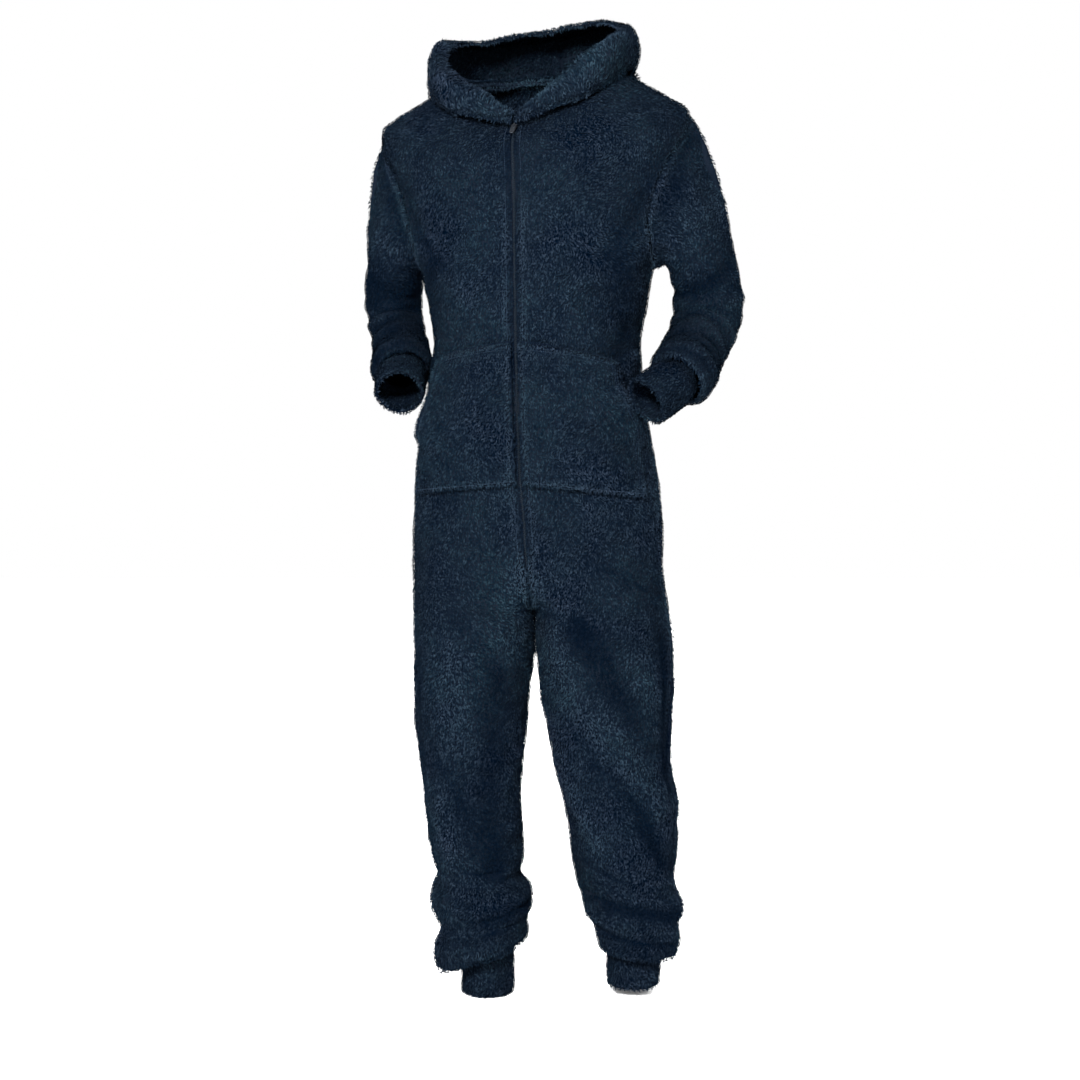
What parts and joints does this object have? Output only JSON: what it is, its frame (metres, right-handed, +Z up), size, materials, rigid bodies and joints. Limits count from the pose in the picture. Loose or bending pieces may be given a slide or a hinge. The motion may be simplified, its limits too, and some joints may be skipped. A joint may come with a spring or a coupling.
{
  "type": "hooded onesie pajama",
  "caption": "Hooded full-length onesie pajama in long-pile fleece, worn and hollow, with a front zip, kangaroo pocket, gathered wrists and bloused ankles.",
  "frame": {"origin": "the middle of the neckline, where the shoulders carry the garment", "axes": "+Z up the standing wearer, -Y the way the front faces, +X the wearer's left"},
  "size_m": [0.6379, 0.4195, 1.6474],
  "materials": {
    "fleece": "long pile, matt, combed down",
    "cuff_fleece": "long pile, matt",
    "zip_cloth": "woven tape and nylon coil, matt",
    "zip_metal": "dark gunmetal, satin"
  },
  "bodies": {
    "garment": {"front_left": "fleece", "front_right": "fleece", "back_left": "fleece", "back_right": "fleece", "sleeve_left": "fleece", "sleeve_right": "fleece", "hood_left": "fleece", "hood_right": "fleece", "pocket_left": "fleece", "pocket_right": "fleece", "wrist_cuff_left": "cuff_fleece", "wrist_cuff_right": "cuff_fleece", "ankle_cuff_left": "cuff_fleece", "ankle_cuff_right": "cuff_fleece", "zip_tape_left": "zip_cloth", "zip_tape_right": "zip_cloth", "zip_chain": "zip_cloth", "zip_slider": "zip_metal"},
    "pull": {"zip_pull": "zip_metal"}
  },
  "joints": [
    {"name": "pull_hinge", "type": "hinge", "parent": "garment", "child": "pull", "pos_m": [-0.02461, -0.0975, -0.04413], "axis": [-0.9752, 0.2192, -0.0291], "range_deg": [0, 108]}
  ]
}
